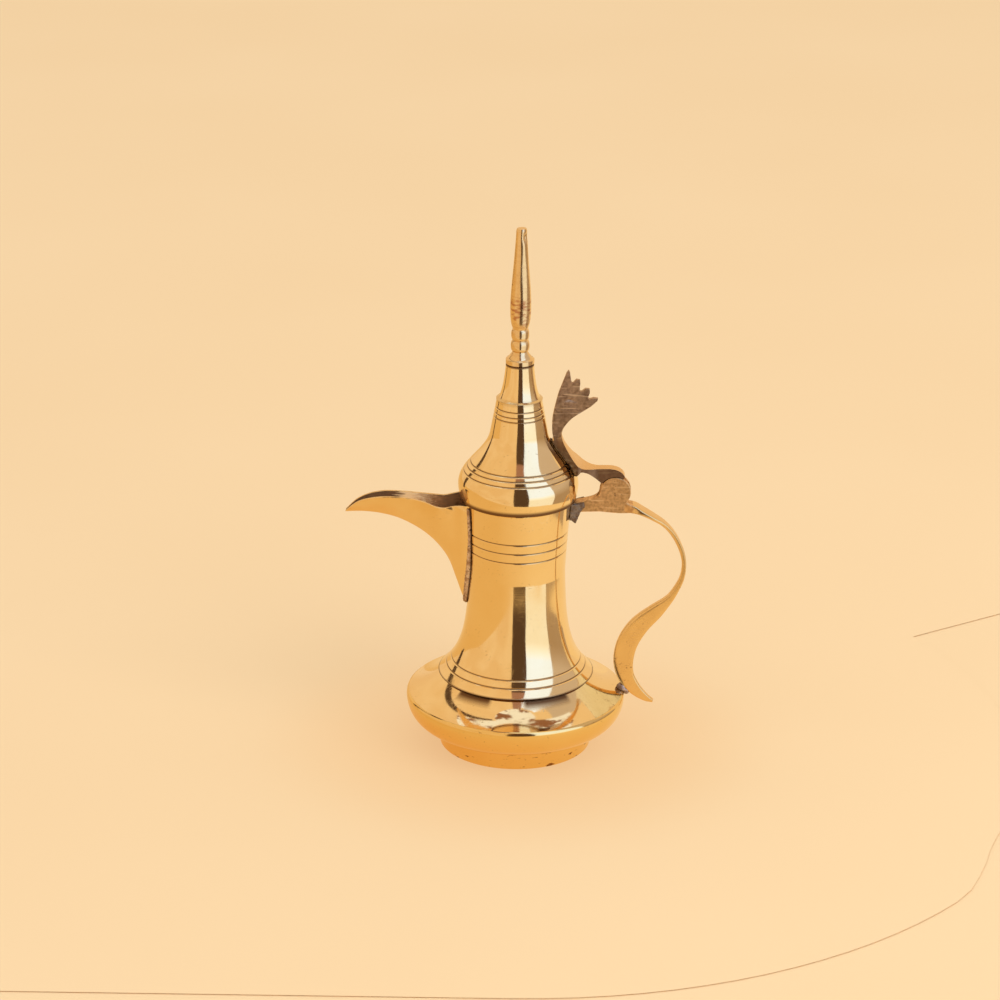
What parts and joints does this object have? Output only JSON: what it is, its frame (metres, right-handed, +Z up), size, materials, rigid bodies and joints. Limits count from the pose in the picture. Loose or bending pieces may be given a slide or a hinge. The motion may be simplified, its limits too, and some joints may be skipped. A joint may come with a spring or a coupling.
{
  "type": "brass coffee pot",
  "caption": "Brass coffee pot with a dished base, bell-shaped neck, open beak spout, cast handle and a tall hinged lid opened by a thumb lever.",
  "frame": {"origin": "on the neck's axis in the plane on which the foot ring stands, which is the bottom centre of the bounding box to within a millimetre", "axes": "+Z up along the neck's axis, +X from the neck towards the handle (the spout points to -X), +Y away from a viewer who has the spout on the left"},
  "size_m": [0.1678, 0.1086, 0.2662],
  "materials": {
    "sheet_brass": "polished",
    "bowl_brass": "polished",
    "cast_brass": "satin",
    "dark_brass": "aged",
    "solder": "matte"
  },
  "bodies": {
    "pot": {"foot_disc": "bowl_brass", "foot_solder": "solder", "base_bowl": "bowl_brass", "belly_solder": "solder", "shoulder": "sheet_brass", "skirt_solder": "solder", "neck": "sheet_brass", "rim_ring": "sheet_brass", "spout": "sheet_brass", "spout_solder": "solder", "handle": "cast_brass", "handle_top_solder": "solder", "handle_foot_solder": "solder", "hinge_pin": "dark_brass"},
    "lid": {"lid_dome": "sheet_brass", "lid_collar": "sheet_brass", "lid_cone": "sheet_brass", "finial": "sheet_brass", "finial_nut": "dark_brass", "thumb_lever": "dark_brass", "lever_solder": "solder"}
  },
  "joints": [
    {"name": "lid_hinge", "type": "hinge", "parent": "pot", "child": "lid", "pos_m": [0.0474, 0, 0.1335], "axis": [0, 1, 0], "range_deg": [0, 92]}
  ]
}
